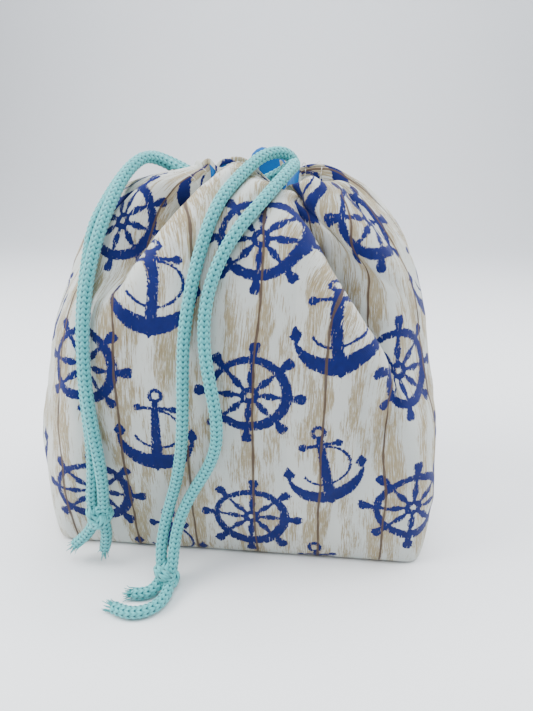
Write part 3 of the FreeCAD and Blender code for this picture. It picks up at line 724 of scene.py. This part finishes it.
def fold_at(line, v):
    marks = np.array(sorted(line), float)
    where = np.interp(v, marks[:, 0], marks[:, 1])
    depth = np.interp(v, marks[:, 0], marks[:, 2], left=0.0)
    return where, depth


def round_u(distance):
    full = 2 * FRONT_WIDE
    return (distance + full / 2) % full - full / 2


def flap(u, v):
    """1 on the smooth front flap, fading to 0 at the folds on both its sides."""
    left, _ = fold_at(FOLDS[0][3], v)
    right = np.where(v > 200, fold_at(FOLDS[1][3], v)[0], fold_at(FOLDS[2][3], v)[0])
    return np.clip((u - left) / 5.0, 0, 1) * np.clip((right - u) / 5.0, 0, 1)


def smooth_noise(u, v, size, seed):
    """Gentle seeded waves about size mm long, from -1 to 1, which match where the cloth closes on itself."""
    pick = random.Random(seed)
    total = np.zeros_like(u * 1.0)
    full = 2 * FRONT_WIDE
    for _ in range(7):
        turns = round(pick.uniform(0.4, 1.5) * full / size) * (1 if pick.random() < 0.5 else -1)
        total += np.sin(2 * math.pi * (turns * u / full + pick.uniform(-1.3, 1.3) * v / size + pick.random()))
    return total / 3.4


def share_round(u, v):
    """Which share of the way round the outline the cloth point u has reached at height v."""
    steps = np.arange(0, 2 * FRONT_WIDE + 0.5, 1.0)
    grid_u, grid_v = np.meshgrid(steps, np.atleast_1d(v))
    on_flap = flap(grid_u, grid_v)
    crowd = np.ones_like(grid_u)
    for _, low_side, high_side, line in FOLDS:
        where, depth = fold_at(line, grid_v)
        off = round_u(grid_u - where) - 0.15 * (high_side - low_side)
        crowd -= 0.62 * np.clip(depth / 10.0, 0, 1) * np.exp(-(off / 7.5) ** 2)
    crowd = np.clip(crowd, 0.14, 1.0)
    numbers = at_height(np.atleast_1d(v))
    quarter = outline_length(numbers[:, 1], numbers[:, 2], numbers[:, 3]) / 4
    share = np.zeros_like(grid_u)

    def middle(rows):
        return (rows[:, 1:] + rows[:, :-1]) / 2

    for part in range(4):
        inside = (steps >= part * FRONT_WIDE / 2) & (steps <= (part + 1) * FRONT_WIDE / 2)
        fixed = on_flap[:, inside]
        loose = crowd[:, inside] * (1 - fixed)
        held, free = middle(fixed).sum(axis=1), middle(loose).sum(axis=1)
        scale = np.maximum(quarter - held, 0.25 * quarter) / np.maximum(free, 1.0)
        weight = middle(fixed) + middle(loose) * scale[:, None]
        walked = np.concatenate([np.zeros((len(weight), 1)), np.cumsum(weight, axis=1)], axis=1)
        share[:, inside] = part / 4 + walked / walked[:, -1:] / 4
    return np.array([np.interp(u_row, steps, row) for u_row, row in zip(np.atleast_2d(u), share)])


VALLEY_SINK = 0.42      # a fold's hollow sinks below the gathered rim by this share of its depth


def cloth_form(u, v):
    """Places in millimetres of the cloth points (u, v), both as grids of rows."""
    heights = v[:, 0]
    numbers = at_height(heights)
    share = share_round(u, heights)
    drift = 0.012 * np.clip((v - 120) / 80, 0, 1) * np.exp(-((u - 149) / 45) ** 2)
    share = share + drift
    x, y = round_outline(share, numbers[:, 1:2], numbers[:, 2:3], numbers[:, 3:4])
    body = np.stack([x + numbers[:, 4:5], y + numbers[:, 5:6], np.repeat(numbers[:, 0:1], u.shape[1], axis=1)],
            axis=2)
    along_u = np.gradient(body, axis=1)
    along_u[:, 0] = along_u[:, -1] = body[:, 1] - body[:, -2]
    along_v = np.gradient(body, axis=0)
    outward = np.cross(along_u, along_v)
    outward /= np.maximum(np.linalg.norm(outward, axis=2, keepdims=True), 1e-9)
    along_u /= np.maximum(np.linalg.norm(along_u, axis=2, keepdims=True), 1e-9)
    inwards = np.zeros_like(u)
    sideways = np.zeros_like(u)
    for _, low_side, high_side, line in FOLDS:
        where, depth = fold_at(line, v)
        off = round_u(u - where)
        reach = np.where(off < 0, low_side, high_side)
        inwards = np.maximum(inwards, depth * np.exp(-(off / reach) ** 2) ** 1.0) + 0.25 * np.minimum(
            inwards, depth * np.exp(-(off / reach) ** 2))
        lip = np.sign(low_side - high_side) * np.clip(depth / 12.0, 0, 1)
        edge = off - np.sign(low_side - high_side) * 0.8 * np.minimum(low_side, high_side)
        sideways -= 6.5 * lip * np.exp(-(edge / 7.0) ** 2)
    rising = np.clip((v - 176) / 46, 0, 1)
    free = 1 - flap(u, v)
    ripple = np.sin(2 * math.pi * u / 22.9 + 1.7 * smooth_noise(u, v * 0.5, 120, 5))
    inwards += 2.2 * rising ** 1.5 * free * (1 - ripple) * 0.8
    puff = np.clip((v - 110) / 60, 0, 1) * np.clip((232 - v) / 20, 0, 1)
    inwards -= puff * (2.2 * flap(u, v) + 2.4 * free)
    low_fade = np.clip(v / 26, 0, 1)
    inwards += low_fade * (1.15 * smooth_noise(u, v, 95, 1) + 0.55 * smooth_noise(u, v, 42, 2) * (1 + 0.5 * free))
    inwards += low_fade * (0.3 * smooth_noise(u, v, 17, 3) + 0.5 * smooth_noise(u * 1.0, v * 0.45, 30, 9) * np.clip(
        (v - 90) / 90, 0, 1))
    seam = np.exp(-(round_u(u) / 3.0) ** 2) + np.exp(-((u - FRONT_WIDE) / 3.0) ** 2)
    inwards += 0.9 * seam * low_fade
    places = body - outward * inwards[..., None] + along_u * sideways[..., None]
    near_edge = np.clip((v - 206) / 24, 0, 1) ** 1.3
    behind = np.clip((body[..., 1] + 9) / 8, 0, 1)
    to_left = np.clip((8 - body[..., 0]) / 14, 0, 1)
    places[..., 2] -= (4.0 * near_edge + 9.0 * np.clip((v - 172) / 30, 0, 1)) * to_left * behind
    places[..., 2] += 3.4 * near_edge * np.clip((body[..., 0] - 2) / 8, 0, 1) * behind
    places[..., 2] -= 19.0 * near_edge * np.clip((body[..., 0] - 7) / 14, 0, 1) * (1 - behind)
    places[..., 2] += 1.6 * near_edge * np.clip((16 - np.abs(body[..., 0] + 2)) / 10, 0, 1) * (1 - behind)
    places[..., 2] -= VALLEY_SINK * np.clip(inwards, 0, 24) * np.clip((v - 188) / 30, 0, 1)
    return places, outward


def yield_to_cords(places, room=3.5, above=9.0):
    """Cloth that a cord presses on gives way, so the cord lies in a slight trough and not in the cloth."""
    flat = places.reshape(-1, 3)
    middle = np.array([0.0, 0.0, 120.0])
    pressed = np.zeros(len(flat))
    inwards = middle - flat
    inwards /= np.linalg.norm(inwards, axis=1)[:, None]
    for line in CORD_LINES.values():
        for point in line[18::2]:
            near = flat - point
            along = (near * inwards).sum(axis=1)
            aside = (near ** 2).sum(axis=1) - along ** 2
            under = np.sqrt(np.maximum(room ** 2 - aside, 0)) - along
            close = (aside < room ** 2) & (along > -above) & (under > 0)
            pressed[close] = np.maximum(pressed[close], under[close])
    pressed = pressed.reshape(places.shape[:2])
    for _ in range(5):
        spread = (np.roll(pressed, 1, 1) + np.roll(pressed, -1, 1)) / 4
        spread[1:-1] += (pressed[2:] + pressed[:-2]) / 4
        pressed = np.maximum(pressed, 0.93 * spread)
    return places + inwards.reshape(places.shape) * pressed[..., None]


print("folds placed by hand:", len(FOLDS))

# %% [markdown]
# ## Outer panels
# Each panel is a grid that is laid onto the form. Its lowest rows are half of the base, which ends at a seam under
# the middle, and its top rows turn over the edge of the mouth. The map of the panel is its flat cloth in metres.
# Solidify then gives the cloth its thickness, inwards, and one subdivision rounds the folds.

# %% Outer panels
COLUMNS = 112
ROWS = 88
BASE_HALF = 53.0
HEM = 4.0


def cloth_rows(tall_rows):
    """Heights of the rows: half of the base, the wall, and the turned edge."""
    base = np.linspace(-BASE_HALF, -3.0, 9)
    wall = np.linspace(0.0, CLOTH_TALL, tall_rows)
    edge = CLOTH_TALL + np.linspace(1.0, HEM, 4)
    return np.concatenate([base, wall, edge])


def lay_cloth(u_row, v_column, hem_way=1.0):
    u, v = np.meshgrid(u_row, v_column)
    wall_v = np.clip(v, 0.0, CLOTH_TALL)
    wrapped = np.linspace(0, 2 * FRONT_WIDE, 2 * COLUMNS + 1)
    full_u, full_v = np.meshgrid(wrapped, wall_v[:, 0])
    places, outward = cloth_form(full_u, full_v)
    places = yield_to_cords(places)
    pick = np.searchsorted(wrapped, u_row - 1e-6)
    places, outward = places[:, pick].copy(), outward[:, pick].copy()
    below = v < 0
    shrink = np.clip(1 + v / BASE_HALF, 0.0, 1.0)
    places[..., 1] = np.where(below, places[..., 1] * shrink, places[..., 1])
    places[..., 2] = np.where(below, 0.75, places[..., 2])
    outward[below] = (0.0, 0.0, -1.0)
    turned = np.clip((v - CLOTH_TALL) / HEM, 0, 1) * math.pi
    places -= outward * (1.2 * (1 - np.cos(turned)) * (turned > 0))[..., None]
    places[..., 2] += 1.1 * np.sin(turned) - 1.2 * (1 - np.cos(turned))
    return places, outward, u, v


def cloth_piece(name, places, u, v, inside_out=False):
    rows, columns = u.shape
    bpy.ops.object.select_all(action="DESELECT")
    bpy.ops.mesh.primitive_grid_add(x_subdivisions=columns - 1, y_subdivisions=rows - 1, size=2, calc_uvs=True)
    piece = bpy.context.object
    piece.name = name
    mesh = piece.data
    flat = np.array([vertex.co[:2] for vertex in mesh.vertices])
    column = np.rint((flat[:, 0] + 1) / 2 * (columns - 1)).astype(int)
    row = np.rint((flat[:, 1] + 1) / 2 * (rows - 1)).astype(int)
    mesh.vertices.foreach_set("co", (places[row, column] * MM).ravel())
    layer = mesh.uv_layers.active.data
    for loop in mesh.loops:
        layer[loop.index].uv = (u[row[loop.vertex_index], column[loop.vertex_index]] * MM,
                                v[row[loop.vertex_index], column[loop.vertex_index]] * MM)
    mesh.uv_layers.active.name = "UVMap"
    if inside_out:
        mesh.flip_normals()
    return piece


def outer_panel(name, first_u, nodes):
    u_row = np.linspace(first_u, first_u + FRONT_WIDE, COLUMNS + 1)
    places, _, u, v = lay_cloth(u_row, cloth_rows(ROWS))
    panel = cloth_piece(name, places, u, v)
    apply_modifier(panel, "SOLIDIFY", thickness=0.0007, offset=-1.0, use_even_offset=False)
    apply_modifier(panel, "SUBSURF", levels=1, render_levels=1)
    finish_piece(panel, print_finish)
    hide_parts(*nodes)
    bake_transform(panel)
    return panel


front_panel = outer_panel("front_panel", 0.0, ("outer_front_panel", "front_casing"))
back_panel = outer_panel("back_panel", FRONT_WIDE, ("outer_back_panel", "back_casing"))
print("panel faces", len(front_panel.data.polygons), len(back_panel.data.polygons))

# %% [markdown]
# ## Lining
# Blue cotton, quilted to a thin fleece, lines the bag. It shows only in the mouth, where it stands upright behind the
# gathered edge, and further down it follows the outer cloth a few millimetres inside it.

# %% Lining
LINING_CLEAR = 2.9      # mm from the outer cloth to the lining
FOLD_CLEAR = 8.0        # mm more behind the three deep folds beside the flap
BACK_PROUD = 5.0        # mm that the lining stands above the rim at the back


def lining_places(u_row):
    down = np.concatenate([np.linspace(0.0, 1.0, 9), np.linspace(1.15, 2.0, 8), np.linspace(2.05, 3.0, 34),
                           np.linspace(3.05, 4.0, 8)])
    heights = np.interp(down, (0, 1, 2, 3, 4), (230, 214, 172, 3, -BASE_HALF))
    order = np.argsort(heights)
    places, outward, u, v = lay_cloth(u_row, heights[order])
    clear = np.full_like(u, LINING_CLEAR)
    for _, _, _, line in FOLDS[:3]:
        where, depth = fold_at(line, np.clip(v, 0, CLOTH_TALL))
        clear += FOLD_CLEAR * np.clip(depth / 12.0, 0, 1) * np.exp(-(round_u(u - where) / 13.0) ** 2)
    inside = places - outward * clear[..., None]
    inside[..., 2] = np.maximum(inside[..., 2], 3.4)
    edge, edge_out, _, _ = lay_cloth(u_row, cloth_rows(ROWS))
    rim_in = edge[-1] + edge_out[-1] * 0.35
    down = down[order][:, None, None]
    proud = BACK_PROUD * np.exp(-((rim_in[:, 0] - 9.0) / 9.0) ** 2) * np.clip((rim_in[:, 1] + 3.0) / 5.0, 0, 1)
    wall = rim_in[None] + np.array([0.0, 0.0, 1.0]) * (1.1 - 17.0 * np.clip(down, 0, 1))
    wall[..., 2] += proud[None] * (1 - np.clip(down[..., 0], 0, 1))
    share = np.clip(down - 1, 0, 1)
    share = share * share * (3 - 2 * share)
    hung = wall * (1 - share) + inside * share
    return hung, u, v


for name, first_u, nodes in (("front_lining_cloth", 0.0, ("front_lining", "front_fleece")),
                             ("back_lining_cloth", FRONT_WIDE, ("back_lining", "back_fleece"))):
    u_row = np.linspace(first_u, first_u + FRONT_WIDE, COLUMNS + 1)
    places, u, v = lining_places(u_row)
    lining = cloth_piece(name, places, u, v, inside_out=True)
    apply_modifier(lining, "SOLIDIFY", thickness=0.0005, offset=1.0, use_even_offset=False)
    finish_piece(lining, lining_finish)
    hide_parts(*nodes)
    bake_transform(lining)

# %% [markdown]
# ## Cords inside the casing
# Out of sight, each cord goes once round the mouth inside the gathered casing, between the outer cloth and the
# lining. One open ring of cord for each stands for its two runs and its crossing.

# %% Cords in the casing
CASING_RINGS = {
    "left": [(-20, 9, 188), (-4, 15, 187), (16, 15, 187), (29, 8, 187), (31, -4, 187), (22, -14, 187), (4, -18, 187),
             (-12, -15, 187), (-21, -9, 188)],
    "right": [(19, -9, 180), (4, -16, 181), (-14, -15, 181), (-25, -7, 181), (-25, 6, 181), (-14, 14, 181),
              (4, 15, 181), (19, 9, 180)]}
for side, route in CASING_RINGS.items():
    ring, _ = knitted_tube(side + "_cord_in_casing", smooth_line(route), step=0.9, sides=24)
    finish_piece(ring, cord_finish)
    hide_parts(side + "_cord_front_run", side + "_cord_back_run", side + "_cord_crossing")
    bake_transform(ring)
print("cords in the casing done")

# %% [markdown]
# ## Stitching
# Lock stitches of off-white thread close the side seams, the seam of the base and its boxed ends, and run round below
# the casing and along the mouth. A stitch is a short rounded bar of thread, 2.6 mm from the next one, that follows
# the cloth. One stitch is modelled and copied along each row.


# %% Rows of stitches
def stitch_row(name, places, nodes, moves=True, pitch=2.6, thick=0.24):
    spaced, length = even_steps(np.array(places), pitch)
    row = []
    for a, b in zip(spaced[:-1], spaced[1:]):
        a, b = Vector(a), Vector(b)
        along = (b - a)
        if along.length < 0.5:
            continue
        bpy.ops.mesh.primitive_uv_sphere_add(segments=6, ring_count=4, radius=1.0)
        stitch = bpy.context.object
        turn = along.to_track_quat("Z", "Y")
        for vertex in stitch.data.vertices:
            co = vertex.co
            vertex.co = ((a + b) / 2 + turn @ Vector((co.x * thick, co.y * thick, co.z * along.length * 0.46))) * MM
        row.append(stitch)
    select_only(*row)
    bpy.ops.object.join()
    piece = bpy.context.object
    piece.name = name
    finish_piece(piece, thread_finish)
    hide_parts(*nodes)
    if moves:
        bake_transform(piece)
    else:
        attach(piece, "bag")
    return piece


def on_cloth(u_row, v_column, proud=0.1):
    places, outward, _, _ = lay_cloth(np.array(u_row), np.array(v_column))
    return places + outward * proud


side_heights = np.linspace(4.0, 206.0, 90)
stitch_row("left_seam_stitches", on_cloth([0.0, 2.66], side_heights)[:, 0], ["left_side_seam"])
stitch_row("right_seam_stitches", on_cloth([FRONT_WIDE, FRONT_WIDE + 2.66], side_heights)[:, 0], ["right_side_seam"])
stitch_row("front_casing_stitches", on_cloth(np.linspace(0, FRONT_WIDE, 113), [220.5, 222.0])[0],
           ["front_casing_stitching"])
stitch_row("back_casing_stitches", on_cloth(np.linspace(FRONT_WIDE, 2 * FRONT_WIDE, 113), [220.5, 222.0])[0],
           ["back_casing_stitching"])
stitch_row("front_edge_stitches", on_cloth(np.linspace(0, FRONT_WIDE, 113), [227.0, 228.0])[0],
           ["front_top_stitching"])
stitch_row("back_edge_stitches", on_cloth(np.linspace(FRONT_WIDE, 2 * FRONT_WIDE, 113), [227.0, 228.0])[0],
           ["back_top_stitching"])
stitch_row("base_seam_stitches", [(-92, 0, 0.45), (0, 0, 0.45), (92, 0, 0.45)], ["base_seam"], moves=False)
stitch_row("left_boxing_stitches", [(-95.4, -34, 1.6), (-95.6, 0, 1.6), (-95.4, 34, 1.6)], ["left_boxing_seam"],
           moves=False)
stitch_row("right_boxing_stitches", [(95.4, -34, 1.6), (95.6, 0, 1.6), (95.4, 34, 1.6)], ["right_boxing_seam"],
           moves=False)
stitch_row("lining_seam_stitches", [(-88, 0, 4.3), (0, 0, 4.3), (88, 0, 4.3)], ["lining_closing_seam"], moves=False)
print("ten rows of stitches")

# %% [markdown]
# ## Floor, backdrop and light
# The bag stands on a plain pale sweep: a floor that curves up behind it into a backdrop. Daylight from a broad window
# on the left, a weaker light on the right and a white surround give soft shade with almost no cast shadow.

# %% Floor and light
def pale_sweep():
    bpy.ops.object.select_all(action="DESELECT")
    bpy.ops.mesh.primitive_plane_add(size=1, location=(0, 0, 0))
    sweep = bpy.context.object
    sweep.name = "pale_sweep"
    mesh = sweep.data
    mesh.clear_geometry()
    side = [(-1.2, 0.0), (1.1, 0.0)] + [(1.1 + 0.7 * math.sin(a), 0.7 - 0.7 * math.cos(a))
                                        for a in (0.2, 0.4, 0.6, 0.8, 1.0, 1.2, 1.4, math.pi / 2)] + [(1.8, 2.6)]
    vertices = [(x, y, z) for y, z in side for x in (-2.6, 2.6)]
    faces = [(2 * i, 2 * i + 1, 2 * i + 3, 2 * i + 2) for i in range(len(side) - 1)]
    mesh.from_pydata(vertices, [], faces)
    for face in mesh.polygons:
        face.use_smooth = True
    material, tree, shader = new_material("matt paper sweep", 0.9)
    shader.inputs["Base Color"].default_value = linear("#F1F3F5")
    mesh.materials.append(material)
    return sweep


pale_sweep()
world = bpy.data.worlds.new("white surround")
bpy.context.scene.world = world
world.use_nodes = True
background = world.node_tree.nodes["Background"]
background.inputs["Color"].default_value = linear("#EEF3F8")
background.inputs["Strength"].default_value = 0.40


def soft_light(name, place, aim, size, watts, colour):
    data = bpy.data.lights.new(name, "AREA")
    data.shape = "RECTANGLE"
    data.size, data.size_y = size
    data.energy = watts
    data.color = linear(colour)[:3]
    light = bpy.data.objects.new(name, data)
    bpy.context.scene.collection.objects.link(light)
    light.location = place
    light.rotation_euler = (Vector(aim) - Vector(place)).to_track_quat("-Z", "Y").to_euler()


soft_light("window", (-0.85, -0.22, 0.75), (0.0, 0.0, 0.10), (0.7, 0.7), 20.0, "#FFFFFF")
soft_light("overhead", (0.15, -0.05, 1.15), (0.0, 0.0, 0.10), (0.9, 0.8), 17.0, "#F8FAFF")
soft_light("on the backdrop", (0.0, 0.6, 1.9), (0.0, 1.8, 0.7), (2.0, 0.6), 31.0, "#F4F7FF")
soft_light("right side", (0.80, 0.05, 0.50), (0.0, 0.0, 0.12), (0.5, 0.5), 6.5, "#FFFFFF")
print("sweep and four lights placed")
